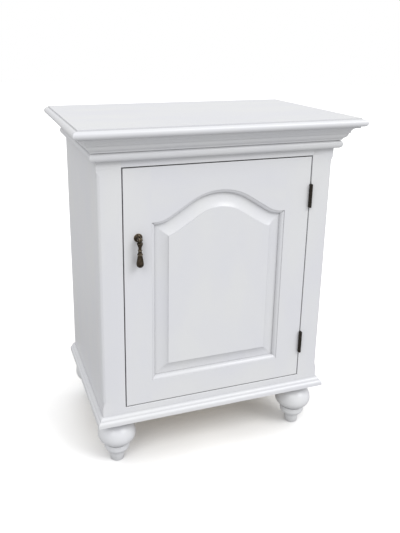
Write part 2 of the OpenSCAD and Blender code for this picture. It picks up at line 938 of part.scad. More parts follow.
module pull_pivot_pin() {
    half = sqrt(pow(post_r, 2) - pow(pivot_r, 2));
    color(bronze) translate([pull_x - half, pivot_y, pull_z]) rotate([0, 90, 0])
        cylinder(2 * half, r = pivot_r, $fn = 32);
}

// Half section of the turned drop, from the pivot down: stem, vase, collar and bulb
module drop_section() {
    stem_r = 1.3;
    vase_top = -(post_r + 0.9);
    vase_r = 5.3;
    vase_edge = 1;
    neck_r = 3;
    neck_z = -0.29 * drop_l;
    flare_r = 4;
    collar_z = -0.52 * drop_l;
    collar_h = 2.8;
    core_r = collar_r - collar_h / 2;
    waist_r = 4.2;
    waist_z = collar_z - collar_h / 2;
    bulb_z = drop_r - drop_l;
    belly_z = bulb_z + 4;
    // stem inside the fork
    translate([0, vase_top - over_cut]) square([stem_r, -vase_top]);
    // vase that narrows to the neck and widens again to the collar
    polygon([[0, vase_top], [vase_r - vase_edge, vase_top], [vase_r, vase_top - vase_edge],
        [vase_r - 0.2 * vase_edge, vase_top - 3 * vase_edge],
        [0.5 * (vase_r + neck_r), 0.5 * (vase_top + neck_z)], [neck_r, neck_z],
        [flare_r, collar_z + collar_h / 2], [core_r, collar_z], [core_r, waist_z], [0, waist_z]]);
    // collar
    translate([core_r, collar_z]) circle(collar_h / 2, $fn = 32);
    // bulb
    polygon([[0, waist_z], [waist_r, waist_z], [0.45 * waist_r + 0.55 * drop_r, 0.5 * (waist_z + belly_z)],
        [drop_r - 0.1, belly_z], [drop_r, bulb_z + 1], [drop_r, bulb_z], [0, bulb_z]]);
    intersection() {
        translate([0, bulb_z]) circle(drop_r, $fn = 64);
        translate([0, -drop_l]) square([drop_r, drop_r]);
    }
}

module pull_drop() {
    color(bronze) translate([pull_x, pivot_y, pull_z]) difference() {
        union() {
            rotate_extrude() drop_section();
            translate([-eye_t / 2, 0, 0]) rotate([0, 90, 0]) cylinder(eye_t, r = eye_r, $fn = 48);
        }
        translate([-eye_t, 0, 0]) rotate([0, 90, 0]) cylinder(2 * eye_t, r = pivot_r + run_fit, $fn = 32);
    }
}

// ---------------------------------------------------------------- catch

module catch_case() {
    color(plastic) difference() {
        block([catch_x - catch_l / 2, catch_y, catch_z], [catch_x + catch_l / 2, catch_y + catch_d, shelf_z]);
        catch_magnet_block(seat_fit);
        catch_screw_set(seat_fit);
    }
}

module catch_magnet_block(extra = 0) {
    half = catch_l / 2 - magnet_in;
    block([catch_x - half - extra, catch_y - (extra > 0 ? over_cut : 0), catch_z + magnet_wall - extra],
        [catch_x + half + extra, catch_y + magnet_d, shelf_z - magnet_wall + extra]);
}

module catch_magnet() {
    color(steel) catch_magnet_block();
}

module strike_plate() {
    color(steel) difference() {
        block([catch_x - catch_l / 2 + strike_in, strike_y, strike_z],
            [catch_x + catch_l / 2 - strike_in, strike_y + strike_t, strike_z + strike_h]);
        strike_screw_set(seat_fit);
    }
}

module catch_screw_set(extra = 0) {
    for (side = [-1, 1])
        translate([catch_x + side * (catch_l / 2 - catch_screw_in), catch_y + catch_d / 2, catch_z])
            rotate([180, 0, 0]) screw(catch_screw_l, small_screw_r, small_head_r, extra);
}

module strike_screw_set(extra = 0) {
    for (side = [-1, 1]) translate([catch_x + side * (catch_l / 2 - strike_screw_in),
        strike_y + strike_t, catch_z + catch_h / 2])
            rotate([-90, 0, 0]) screw(strike_screw_l, small_screw_r, small_head_r, extra);
}

module catch_screws() {
    color(steel) catch_screw_set();
}

module strike_screws() {
    color(steel) strike_screw_set();
}

// ---------------------------------------------------------------- carcass screws

module top_screw_set(extra = 0) {
    for (spot = top_screw_spots) translate([spot[0], spot[1], ceiling_z]) rotate([180, 0, 0])
        screw(top_screw_l, screw_r, screw_head_r, extra);
}

module cleat_screw_set(extra = 0) {
    for (side = [-1, 1]) for (y = cleat_screw_ys)
        translate([side * (side_in - cleat_w), y, cleat_z + cleat_h / 2]) rotate([0, side * -90, 0])
            screw(cleat_screw_l, screw_r, screw_head_r, extra);
}

module back_screw_set(extra = 0) {
    for (side = [-1, 1]) for (z = back_screw_zs) translate([side * back_screw_x, back_y, z])
        rotate([-90, 0, 0]) screw(back_screw_l, small_screw_r, small_head_r, extra);
}

module top_screws() {
    color(steel) top_screw_set();
}

module cleat_screws() {
    color(steel) cleat_screw_set();
}

module back_screws() {
    color(steel) back_screw_set();
}

top_board();
cornice_front();
cornice_side(-1);  // cornice_left
cornice_side(1);  // cornice_right
bead_front();
bead_side(-1);  // bead_left
bead_side(1);  // bead_right
side_panel(-1);  // side_left
side_panel(1);  // side_right
back_panel();
inner_top();
bottom_board();
shelf();
shelf_cleat(-1);  // shelf_cleat_left
shelf_cleat(1);  // shelf_cleat_right
frame_stile(-1);  // frame_stile_left
frame_stile(1);  // frame_stile_right
frame_rail_top();
frame_rail_bottom();
base_front();
base_side(-1);  // base_left
base_side(1);  // base_right
foot_block(0);  // foot_block_front_left
foot_block(1);  // foot_block_front_right
foot_block(2);  // foot_block_back_left
foot_block(3);  // foot_block_back_right
foot(0);  // foot_front_left
foot(1);  // foot_front_right
foot(2);  // foot_back_left
foot(3);  // foot_back_right
foot_studs();
door_stile(-1);  // door_stile_left
door_stile(1);  // door_stile_right
door_rail_top();
door_rail_bottom();
door_panel();
hinge_leaf(1, hinge_zs[1]);  // hinge_top_frame_leaf
hinge_leaf(-1, hinge_zs[1]);  // hinge_top_door_leaf
hinge_pin(hinge_zs[1]);  // hinge_top_pin
hinge_leaf(1, hinge_zs[0]);  // hinge_bottom_frame_leaf
hinge_leaf(-1, hinge_zs[0]);  // hinge_bottom_door_leaf
hinge_pin(hinge_zs[0]);  // hinge_bottom_pin
hinge_screws(1);  // hinge_screws_frame
hinge_screws(-1);  // hinge_screws_door
pull_rose();
pull_post();
pull_nut();
pull_pivot_pin();
pull_drop();
catch_case();
catch_magnet();
strike_plate();
catch_screws();
strike_screws();
top_screws();
cleat_screws();
back_screws();
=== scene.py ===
# %% [markdown]
# # Bedside pot cupboard
# A small painted cupboard stands on four turned feet. It has a moulded top, one door with an arched
# raised panel, two butt hinges and a dark bronze drop pull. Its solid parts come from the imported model,
# which is loaded first and never moved. This script dresses them: it gives each part its finish, eases
# the edges round the door, models the small metal fittings, and sets up floor, light and camera.

# %% Load the cupboard
import json
import math
import bmesh
import bpy
from mathutils import Matrix, Vector

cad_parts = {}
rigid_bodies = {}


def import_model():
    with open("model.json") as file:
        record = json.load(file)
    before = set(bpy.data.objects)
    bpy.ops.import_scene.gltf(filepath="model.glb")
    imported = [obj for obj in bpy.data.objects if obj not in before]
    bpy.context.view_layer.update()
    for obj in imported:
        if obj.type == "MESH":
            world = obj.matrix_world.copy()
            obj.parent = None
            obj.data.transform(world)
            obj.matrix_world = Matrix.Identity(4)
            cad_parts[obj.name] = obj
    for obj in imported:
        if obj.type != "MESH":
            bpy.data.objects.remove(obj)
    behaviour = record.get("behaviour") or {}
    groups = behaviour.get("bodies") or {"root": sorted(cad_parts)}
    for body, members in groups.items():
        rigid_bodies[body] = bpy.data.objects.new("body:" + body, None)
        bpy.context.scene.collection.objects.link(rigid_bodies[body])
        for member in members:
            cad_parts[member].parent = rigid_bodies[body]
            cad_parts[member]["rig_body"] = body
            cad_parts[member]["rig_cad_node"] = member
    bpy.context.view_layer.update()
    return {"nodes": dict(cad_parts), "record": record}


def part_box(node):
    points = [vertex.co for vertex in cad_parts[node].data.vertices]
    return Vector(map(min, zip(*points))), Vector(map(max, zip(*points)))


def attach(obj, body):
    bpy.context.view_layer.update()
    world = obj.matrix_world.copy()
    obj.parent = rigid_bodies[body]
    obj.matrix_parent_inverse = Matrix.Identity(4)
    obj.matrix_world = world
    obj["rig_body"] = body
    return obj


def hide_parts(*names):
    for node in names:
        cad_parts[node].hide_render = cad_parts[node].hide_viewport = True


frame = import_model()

parts = frame["nodes"]
MM = 0.001

# %% [markdown]
# ## Colours and nodes
# Paint charts and photographs give colours in sRGB, while a shader works with linear light. One
# function turns a hex value into the linear colour that a socket needs. A second one adds a node, sets
# it up and links it, so that each finish below reads as a short list of steps.

# %% Colour and node helpers
def linear(hex_colour):
    channels = [int(hex_colour[i:i + 2], 16) / 255 for i in (1, 3, 5)]
    return [c / 12.92 if c <= 0.04045 else ((c + 0.055) / 1.055) ** 2.4 for c in channels] + [1.0]


def new_finish(name):
    finish = bpy.data.materials.new(name)
    finish.use_nodes = True
    finish.node_tree.nodes.clear()
    return finish


def add_node(finish, kind, settings=None, inputs=None):
    """Adds a node and sets its properties. Its inputs take values or the outputs of other nodes."""
    node = finish.node_tree.nodes.new(kind)
    for key, value in (settings or {}).items():
        setattr(node, key, value)
    for key, value in (inputs or {}).items():
        if isinstance(value, bpy.types.NodeSocket):
            finish.node_tree.links.new(value, node.inputs[key])
        else:
            node.inputs[key].default_value = value
    return node


# A Mix node has an A, a B and a Result for numbers, vectors, colours and turns, all with the same names,
# so its colours are picked by number. Other nodes whose inputs share a name take them by number too.
A, B, MIXED = 6, 7, 2
print("paint white in linear light:", [round(c, 3) for c in linear("#dfe0e4")])

# %% [markdown]
# ## Patterns that run along the wood
# Brush marks and grain are long in one direction and fine in the other two. A noise that is squeezed by
# a Mapping node gives both. Its scale comes from real sizes: one noise cell is about 1 / scale long, so
# a mark that is 90 mm long and 2.5 mm wide needs the scales 1 / 0.09 and 1 / 0.0025. What is too fine
# to show in a picture is drawn coarser, and its cell says so.

# %% Stretched noise
def stretched_noise(finish, run, length, width, detail, shift=(0, 0, 0)):
    """Noise whose cells are length long along the run axis ("X", "Y" or "Z") and width wide, in metres."""
    scale = [1 / width] * 3
    scale["XYZ".index(run)] = 1 / length
    place = add_node(finish, "ShaderNodeTexCoord")
    stretch = add_node(finish, "ShaderNodeMapping", inputs={
        "Vector": place.outputs["Object"], "Scale": scale, "Location": shift})
    return add_node(finish, "ShaderNodeTexNoise", inputs={
        "Vector": stretch.outputs["Vector"], "Scale": 1.0, "Detail": detail, "Roughness": 0.5})


def remap(finish, value, low, high, to_low, to_high):
    """Turns the range from low to high into the one from to_low to to_high, clamped at both ends."""
    scaled = add_node(finish, "ShaderNodeMapRange", inputs={
        "Value": value, "From Min": low, "From Max": high, "To Min": to_low, "To Max": to_high})
    return scaled.outputs["Result"]


# %% [markdown]
# ## Edges that are handled
# Where hands pass over a metal fitting, its sharp edges wear first. A Bevel node gives the normal that
# a slightly rounded edge would have. Where it differs from the true normal, an edge is near, and that
# difference makes a mask for wear and for painted highlights on the rims.

# %% Edge mask
def edge_mask(finish, radius, first, fully):
    """0 where the two normals are as alike as first, up to 1 where they are only as alike as fully."""
    rounded = add_node(finish, "ShaderNodeBevel", {"samples": 6}, {"Radius": radius})
    flat = add_node(finish, "ShaderNodeNewGeometry")
    likeness = add_node(finish, "ShaderNodeVectorMath", {"operation": "DOT_PRODUCT"}, {
        0: rounded.outputs["Normal"], 1: flat.outputs["Normal"]})
    return remap(finish, likeness.outputs["Value"], first, fully, 0.0, 1.0)


# %% [markdown]
# ## Satin white paint
# The cupboard is brushed with a cool white satin alkyd over a primed ground. To the eye that is an even
# white with a soft sheen, faint brush marks along each piece of wood and a slightly uneven gloss. The
# eased edges round the door are painted a little brighter, partly as rubbed paint and partly as a painted
# highlight. Hollows and inner corners are painted greyer, up to about 24 mm away from the deepest line:
# that is painted shade. The marks are drawn 2.5 mm wide, about three times coarser than real bristle
# marks, so that they still show.

# %% Satin white paint
def satin_white_paint(name, run):
    finish = new_finish(name)
    bristle = stretched_noise(finish, run, 90 * MM, 2.5 * MM, 3.0).outputs["Fac"]
    cloud = stretched_noise(finish, run, 160 * MM, 70 * MM, 2.0, (3.1, 1.7, 5.3)).outputs["Fac"]
    # Eased faces carry a mark that makes their colour a little brighter: rubbed paint and a painted
    # highlight.
    wear_and_highlight = add_node(finish, "ShaderNodeAttribute", {"attribute_name": "wear_and_highlight"}).outputs["Fac"]

    # Painted shade: ambient occlusion turns the colour grey in hollows and inner corners.
    corner = add_node(finish, "ShaderNodeAmbientOcclusion", {"samples": 8}, {"Distance": 24 * MM})
    painted_corner_shade = remap(finish, corner.outputs["AO"], 0.25, 0.95, 0.60, 0.0)
    coat = add_node(finish, "ShaderNodeMix", {"data_type": "RGBA"}, {
        "Factor": remap(finish, cloud, 0.35, 0.65, 0.0, 1.0), A: linear("#dddee3"), B: linear("#e0e1e3")})
    bright = add_node(finish, "ShaderNodeMix", {"data_type": "RGBA"}, {
        "Factor": wear_and_highlight, A: coat.outputs[MIXED], B: linear("#e5e6e9")})
    coat_with_painted_shade = add_node(finish, "ShaderNodeMix", {"data_type": "RGBA"}, {
        "Factor": painted_corner_shade, A: bright.outputs[MIXED], B: linear("#b2b2b3")})

    gloss = remap(finish, bristle, 0.3, 0.7, 0.28, 0.33)
    brushed = add_node(finish, "ShaderNodeBump", inputs={
        "Height": bristle, "Strength": 0.1, "Distance": 0.015 * MM})
    shader = add_node(finish, "ShaderNodeBsdfPrincipled", inputs={
        "Base Color": coat_with_painted_shade.outputs[MIXED], "Roughness": gloss,
        "Normal": brushed.outputs["Normal"], "IOR": 1.5})
    add_node(finish, "ShaderNodeOutputMaterial", inputs={"Surface": shader.outputs["BSDF"]})
    return finish


white = {run: satin_white_paint("satin_white_brushed_" + run.lower(), run) for run in "XYZ"}
print("paints:", sorted(f.name for f in white.values()))

# %% [markdown]
# ## Bare pine
# The boards that nobody sees are planed pine. Its growth rings are cut lengthways, so the eye sees pale
# early wood with darker, harder lines 4 to 7 mm apart along the board, and fine fibres between them.
# Rings round a distant heart, bent by noise, give such lines. The fibres are drawn 0.9 mm wide, coarser
# than real ones, so that they show.

# %% Bare pine
def bare_pine(name, run):
    finish = new_finish(name)
    bend = stretched_noise(finish, run, 400 * MM, 60 * MM, 2.0)
    place = add_node(finish, "ShaderNodeTexCoord")
    heart = add_node(finish, "ShaderNodeMapping", inputs={
        "Vector": place.outputs["Object"], "Location": (0.34, 0.09, 0.17)})
    bent = add_node(finish, "ShaderNodeVectorMath", {"operation": "MULTIPLY_ADD"}, {
        0: bend.outputs["Color"], 1: (0.035, 0.035, 0.035), 2: heart.outputs["Vector"]})
    # A ring wave of scale s repeats about every 0.314 / s metres, and the rings are about 6 mm apart.
    rings = add_node(finish, "ShaderNodeTexWave", {"wave_type": "RINGS", "rings_direction": run}, {
        "Vector": bent.outputs["Vector"], "Scale": 0.314 / (6 * MM), "Distortion": 0.4})
    fibre = stretched_noise(finish, run, 45 * MM, 0.9 * MM, 2.0).outputs["Fac"]
    late = remap(finish, rings.outputs["Fac"], 0.45, 0.95, 0.0, 0.55)
    wood = add_node(finish, "ShaderNodeMix", {"data_type": "RGBA"}, {
        "Factor": late, A: linear("#dccfb6"), B: linear("#c1a581")})
    streaked = add_node(finish, "ShaderNodeMix", {"data_type": "RGBA", "blend_type": "MULTIPLY"}, {
        "Factor": remap(finish, fibre, 0.4, 0.75, 0.0, 0.35),
        A: wood.outputs[MIXED], B: linear("#d3bf9f")})
    planed = add_node(finish, "ShaderNodeBump", inputs={
        "Height": fibre, "Strength": 0.4, "Distance": 0.1 * MM})
    shader = add_node(finish, "ShaderNodeBsdfPrincipled", inputs={
        "Base Color": streaked.outputs[MIXED], "Roughness": remap(finish, late, 0, 1, 0.72, 0.55),
        "Normal": planed.outputs["Normal"], "IOR": 1.45})
    add_node(finish, "ShaderNodeOutputMaterial", inputs={"Surface": shader.outputs["BSDF"]})
    return finish


pine = {run: bare_pine("bare_pine_" + run.lower(), run) for run in "XYZ"}
print("pines:", sorted(f.name for f in pine.values()))

# %% [markdown]
# ## Dark antique bronze
# The hinges and the pull are brass with a chemically darkened, waxed surface. Nobody touches the
# hinges, so they stay an even brownish black, with rims painted only a little lighter as a highlight. The
# pull is handled every day: its patina is lighter, it varies in patches, and its rings and rims are rubbed
# back to warm metal and made lighter still as a painted highlight. One recipe makes both from their own
# colours. The pitting is drawn 0.8 mm wide, coarser than the real one, so that it shows from near.

# %% Dark antique bronze
def dark_bronze(name, deep, worn, rim, rim_share, rim_width):
    finish = new_finish(name)
    patches = stretched_noise(finish, "Z", 6 * MM, 5 * MM, 4.0).outputs["Fac"]
    grit = stretched_noise(finish, "Z", 0.9 * MM, 0.8 * MM, 2.0).outputs["Fac"]
    edges = edge_mask(finish, rim_width, 0.99, 0.88)
    patina = add_node(finish, "ShaderNodeMix", {"data_type": "RGBA"}, {
        "Factor": remap(finish, patches, 0.35, 0.65, 0.0, 1.0), A: linear(deep), B: linear(worn)})
    # Rims are mixed towards a lighter colour: worn metal on the pull, and a painted highlight on both
    # fittings.
    wear_and_highlight = add_node(finish, "ShaderNodeMix", {"data_type": "RGBA"}, {
        "Factor": remap(finish, edges, 0, 1, 0.0, rim_share), A: patina.outputs[MIXED], B: linear(rim)})
    pitted = add_node(finish, "ShaderNodeBump", inputs={
        "Height": grit, "Strength": 0.35, "Distance": 0.12 * MM})
    shader = add_node(finish, "ShaderNodeBsdfPrincipled", inputs={
        "Base Color": wear_and_highlight.outputs[MIXED], "Metallic": 1.0, "Normal": pitted.outputs["Normal"],
        "Roughness": remap(finish, patches, 0.3, 0.7, 0.3, 0.5)})
    add_node(finish, "ShaderNodeOutputMaterial", inputs={"Surface": shader.outputs["BSDF"]})
    return finish


bronze = {"hinge": dark_bronze("dark_bronze_hinges", "#3a3631", "#423d37", "#554d45", 0.4, 0.5 * MM),
          "pull": dark_bronze("rubbed_bronze_pull", "#3a342c", "#574c40", "#b3a791", 0.9, 1.2 * MM)}
print("bronzes:", sorted(f.name for f in bronze.values()))

# %% [markdown]
# ## Zinc-plated steel
# Every screw that isn't a hinge's is zinc-plated, and so are the foot studs, the pull's nut, the strike
# plate and the magnet. The coat is thin and bright: a cool grey metal, cloudy from the bath, with a
# fine roughness. That is drawn 0.5 mm wide, coarser than the real one, so that it shows from near.

# %% Zinc-plated steel
def zinc_steel(name):
    finish = new_finish(name)
    cloud = stretched_noise(finish, "Z", 5 * MM, 4 * MM, 3.0).outputs["Fac"]
    coat = add_node(finish, "ShaderNodeMix", {"data_type": "RGBA"}, {
        "Factor": remap(finish, cloud, 0.35, 0.65, 0.0, 1.0), A: linear("#9fa3a6"), B: linear("#bfc3c4")})
    fine = stretched_noise(finish, "X", 0.6 * MM, 0.5 * MM, 1.0).outputs["Fac"]
    grain = add_node(finish, "ShaderNodeBump", inputs={
        "Height": fine, "Strength": 0.2, "Distance": 0.05 * MM})
    shader = add_node(finish, "ShaderNodeBsdfPrincipled", inputs={
        "Base Color": coat.outputs[MIXED], "Metallic": 1.0, "Normal": grain.outputs["Normal"],
        "Roughness": remap(finish, cloud, 0.3, 0.7, 0.28, 0.42)})
    add_node(finish, "ShaderNodeOutputMaterial", inputs={"Surface": shader.outputs["BSDF"]})
    return finish


zinc = zinc_steel("zinc_plated_steel")
print("steel:", zinc.name)

# %% [markdown]
# ## Moulded catch plastic
# The catch's case is injection-moulded in a pale ivory plastic with a fine spark-eroded texture. It is
# drawn 0.7 mm wide, coarser than the real one, so that it shows from near.

# %% Moulded plastic
def moulded_plastic(name):
    finish = new_finish(name)
    texture = stretched_noise(finish, "Z", 0.7 * MM, 0.7 * MM, 1.0).outputs["Fac"]
    tint = stretched_noise(finish, "Z", 14 * MM, 14 * MM, 1.0).outputs["Fac"]
    body = add_node(finish, "ShaderNodeMix", {"data_type": "RGBA"}, {
        "Factor": tint, A: linear("#e2dccd"), B: linear("#d8d1c0")})
    eroded = add_node(finish, "ShaderNodeBump", inputs={
        "Height": texture, "Strength": 0.3, "Distance": 0.05 * MM})
    shader = add_node(finish, "ShaderNodeBsdfPrincipled", inputs={
        "Base Color": body.outputs[MIXED], "Roughness": remap(finish, texture, 0.3, 0.7, 0.42, 0.55),
        "Normal": eroded.outputs["Normal"], "IOR": 1.46})
    add_node(finish, "ShaderNodeOutputMaterial", inputs={"Surface": shader.outputs["BSDF"]})
    return finish


ivory = moulded_plastic("moulded_ivory_plastic")
print("plastic:", ivory.name)

# %% [markdown]
# ## Which finish goes where
# Each record slot names a family of finishes. Wood also needs its run: a rail's grain and brush marks
# go across, a stile's go up, and those of a side moulding go from front to back. Bronze goes by the
# fitting, hinge or pull, which is the first word of its parts' names.

# %% Give every part its finish
slot_of = {name: part.data.materials[0].name for name, part in parts.items()}


def run_of(name):
    low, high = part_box(name)
    size = high - low
    return "XYZ"[max(range(3), key=lambda axis: size[axis])]


def finish_of(name):
    slot = slot_of[name]
    if slot == "antique_bronze":
        return bronze[name.split("_")[0]]
    if slot in ("painted_wood", "bare_wood"):
        return {"painted_wood": white, "bare_wood": pine}[slot][run_of(name)]
    return {"steel": zinc, "catch_plastic": ivory}[slot]


for name, part in parts.items():
    part.data.materials.clear()
    part.data.materials.append(finish_of(name))
print("finishes in use:", sorted({part.data.materials[0].name for part in parts.values()}))

# %% [markdown]
# ## Copies for the bench
# A CAD solid is never changed. Where a part needs more than its solid has, a copy goes to the bench:
# its loose triangles are merged into one skin and the flat faces are joined again, so that edges can be
# picked and worked. The finished piece rides on the same body and replaces the solid.

# %% Bench helpers
bodies = frame["record"]["behaviour"]["bodies"]
body_of = {part: body for body, members in bodies.items() for part in members}
SAME_POINT = 0.002 * MM
print("parts on each body:", {body: len(members) for body, members in bodies.items()})


def pick_up(piece):
    """Selects one piece alone and makes it active, because an operator acts on all that is selected."""
    bpy.ops.object.select_all(action="DESELECT")
    piece.select_set(True)
    bpy.context.view_layer.objects.active = piece


def bench_copy(name):
    copy = parts[name].copy()
    copy.data = parts[name].data.copy()
    copy.name = name + "_eased"
    copy.parent = None
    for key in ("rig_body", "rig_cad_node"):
        if key in copy:
            del copy[key]
    bpy.context.collection.objects.link(copy)
    pick_up(copy)
    bpy.ops.object.mode_set(mode="EDIT")
    bpy.ops.mesh.select_mode(type="EDGE")
    bpy.ops.mesh.select_all(action="SELECT")
    bpy.ops.mesh.remove_doubles(threshold=SAME_POINT)
    bpy.ops.mesh.dissolve_limited(angle_limit=math.radians(0.3))
    bpy.ops.mesh.select_all(action="DESELECT")
    return copy


def fit_piece(piece, node):
    """Hands a finished piece over: it moves with the node's body, replaces the node and has its finish."""
    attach(piece, body_of[node])
    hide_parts(node)
    if not piece.data.materials:
        piece.data.materials.append(parts[node].data.materials[0])


# %% [markdown]
# ## Eased edges round the door
# The joiner sands the edges of the door and of its opening before painting, and the paint rounds them
# further, to about 0.8 mm in all. These small rounds catch the light and draw a thin bright line on
# both sides of the dark gap. The frame's stiles run on past the opening, so a bisect at its top and
# foot keeps the round between them.

# %% Ease the door and its opening
EASED = 0.8 * MM
stile_low, stile_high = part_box("door_stile_left")
DOOR_HALF = -stile_low.x
DOOR_FOOT, DOOR_HEAD = stile_low.z, stile_high.z
FRONT = stile_low.y
BESIDE = 3 * MM
FLUSH = 0.1 * MM
SHARP = math.radians(35)


def beside_gap(edge):
    """True for an upright or level edge flush with the door's front and beside the gap round it."""
    start, end = (vertex.co for vertex in edge.verts)
    if max(abs(start.y - FRONT), abs(end.y - FRONT)) > FLUSH:
        return False
    middle = (start + end) / 2
    upright = abs(start.x - end.x) < FLUSH and abs(abs(middle.x) - DOOR_HALF) < BESIDE
    from_ends = min(abs(middle.z - DOOR_FOOT), abs(middle.z - DOOR_HEAD))
    level = abs(start.z - end.z) < FLUSH and from_ends < BESIDE
    inside = DOOR_FOOT - BESIDE < middle.z < DOOR_HEAD + BESIDE
    return inside and (upright or level)


def ease_beside_gap(name):
    piece = bench_copy(name)
    if name.startswith("frame_stile"):
        for height in (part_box("frame_rail_bottom")[1].z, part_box("frame_rail_top")[0].z):
            bpy.ops.mesh.select_all(action="SELECT")
            bpy.ops.mesh.bisect(plane_co=(0, 0, height), plane_no=(0, 0, 1))
        bpy.ops.mesh.select_all(action="DESELECT")
    edit = bmesh.from_edit_mesh(piece.data)
    for edge in edit.edges:
        edge.select = edge.is_manifold and edge.calc_face_angle() > SHARP and beside_gap(edge)
    length = sum(edge.calc_length() for edge in edit.edges if edge.select)
    bmesh.update_edit_mesh(piece.data)
    bpy.ops.mesh.bevel(offset=EASED, segments=3, profile=0.5)
    bpy.ops.object.mode_set(mode="OBJECT")
    # The new round faces are marked, and the paint turns them brighter there: wear and a painted highlight.
    wear_and_highlight = piece.data.attributes.new("wear_and_highlight", "FLOAT", "FACE")
    wear_and_highlight.data.foreach_set("value", [float(face.select) for face in piece.data.polygons])
    bpy.ops.object.shade_smooth_by_angle(angle=SHARP)
    flat = piece.modifiers.new("flat_faces_stay_flat", "WEIGHTED_NORMAL")
    flat.keep_sharp = True
    bpy.ops.object.modifier_apply(modifier=flat.name)
    fit_piece(piece, name)
    return round(length / MM)


for name in ("door_stile_left", "door_stile_right", "door_rail_top", "door_rail_bottom",
             "frame_stile_left", "frame_stile_right", "frame_rail_top", "frame_rail_bottom"):
    print(name, "eased over", ease_beside_gap(name), "mm")

# %% [markdown]
# ## Where the screws are
# A node of screws is one mesh with several screws in it. Each is found by following its edges from
# point to point, and its place, direction and size are measured on it, so that the new screw stands
# exactly where the solid one does.

# %% Measure the screws of a node
def screw_places(node):
    """Places and outward directions of a node's screws, with their length, shank radius and head radius."""
    skin = bmesh.new()
    skin.from_mesh(parts[node].data)
    bmesh.ops.remove_doubles(skin, verts=skin.verts, dist=SAME_POINT)
    waiting = set(skin.verts)
    places = []
    while waiting:
        reached = [waiting.pop()]
        for vertex in reached:
            for edge in vertex.link_edges:
                other = edge.other_vert(vertex)
                if other in waiting:
                    waiting.remove(other)
                    reached.append(other)
        low = Vector([min(v.co[i] for v in reached) for i in range(3)])
        high = Vector([max(v.co[i] for v in reached) for i in range(3)])
        axis = max(range(3), key=lambda i: high[i] - low[i])
        centre = (low + high) / 2

        def off_axis(point):
            away = point - centre
            away[axis] = 0
            return away.length

        radii = [off_axis(v.co) for v in reached]
        widest = reached[radii.index(max(radii))].co
        out = Vector((0, 0, 0))
        out[axis] = 1 if widest[axis] > centre[axis] else -1
        length = high[axis] - low[axis]
        places.append((centre + out * length / 2, out, length, min(radii), max(radii)))
    skin.free()
    return sorted(places, key=lambda place: [round(v, 5) for v in place[0]])


for node in ("hinge_screws_frame", "hinge_screws_door", "back_screws"):
    head, out, length, shank, wide = screw_places(node)[0]
    print(node, "first at", [round(v / MM, 1) for v in head], "long", round(length / MM, 1),
          "shank and head radius", round(shank / MM, 2), round(wide / MM, 2))


# %% [markdown]
# ## One screw
# A screw starts as a cone for the head. Its lower cap is drawn out into the shank and once more into
# the point, and the rim gets a little round. A cutter then makes the drive: one slot in the
# old-fashioned hinge screws, and a cross that narrows downwards in the others. The cut faces are joined
# and turned into triangles once, so that every copy has the same ones.

# %% Model one screw
def combine(solid, tool, operation):
    cut = solid.modifiers.new("cut", "BOOLEAN")
    cut.operation = operation
    cut.solver = "EXACT"
    cut.object = tool
    bpy.context.view_layer.objects.active = solid
    bpy.ops.object.modifier_apply(modifier=cut.name)
    bpy.data.objects.remove(tool)


FACING = 0.9


def pick_faces(piece, wanted):
    bpy.ops.mesh.select_mode(type="FACE")
    bpy.ops.mesh.select_all(action="DESELECT")
    edit = bmesh.from_edit_mesh(piece.data)
    edit.normal_update()
    for face in edit.faces:
        face.select_set(wanted(face))
    bmesh.update_edit_mesh(piece.data)


def drive_cutter(across, wide, deep, taper):
    bpy.ops.object.select_all(action="DESELECT")
    bpy.ops.mesh.primitive_cube_add(size=1, scale=(across, wide, 2 * deep), location=(0, 0, 0))
    cutter = bpy.context.object
    bpy.ops.object.mode_set(mode="EDIT")
    pick_faces(cutter, lambda face: face.normal.z < -FACING)
    bpy.ops.transform.resize(value=(taper, taper, 1), center_override=(0, 0, -deep))
    bpy.ops.object.mode_set(mode="OBJECT")
    return cutter


def model_screw(length, shank, wide, slotted):
    head_h = wide - shank
    point_h = 2 * shank
    bpy.ops.object.select_all(action="DESELECT")
    bpy.ops.mesh.primitive_cone_add(vertices=32, radius1=shank, radius2=wide, depth=head_h,
                                    location=(0, 0, -head_h / 2))
    screw = bpy.context.object
    bpy.ops.object.transform_apply(location=True)
    bpy.ops.object.mode_set(mode="EDIT")
    pick_faces(screw, lambda face: face.normal.z < -FACING)
    bpy.ops.mesh.extrude_region_move(TRANSFORM_OT_translate={"value": (0, 0, head_h + point_h - length)})
    bpy.ops.mesh.extrude_region_move(TRANSFORM_OT_translate={"value": (0, 0, -point_h)})
    bpy.ops.transform.resize(value=(0.15, 0.15, 1), center_override=(0, 0, -length))
    pick_faces(screw, lambda face: face.normal.z > FACING)
    bpy.ops.mesh.bevel(offset=0.05 * wide, segments=2, profile=0.5)
    bpy.ops.object.mode_set(mode="OBJECT")
    if slotted:
        combine(screw, drive_cutter(3 * wide, 0.27 * wide, 0.3 * wide, 1), "DIFFERENCE")
    else:
        combine(screw, drive_cutter(1.15 * wide, 0.28 * wide, 0.45 * wide, 0.35), "DIFFERENCE")
        combine(screw, drive_cutter(0.28 * wide, 1.15 * wide, 0.45 * wide, 0.35), "DIFFERENCE")
    pick_up(screw)
    bpy.ops.object.mode_set(mode="EDIT")
    bpy.ops.mesh.select_all(action="SELECT")
    bpy.ops.mesh.remove_doubles(threshold=0.001 * MM)
    bpy.ops.mesh.dissolve_limited(angle_limit=math.radians(0.1))
    bpy.ops.mesh.select_all(action="SELECT")
    bpy.ops.mesh.quads_convert_to_tris(quad_method="BEAUTY", ngon_method="BEAUTY")
    bpy.ops.mesh.dissolve_degenerate(threshold=0.001 * MM)
    bpy.ops.object.mode_set(mode="OBJECT")
    bpy.ops.object.shade_smooth_by_angle(angle=SHARP)
    return screw


# %% [markdown]
# ## All the screws
# One screw is modelled for each node, in that node's size, and a copy goes to each place. Each is
# turned differently, as a hand leaves them.

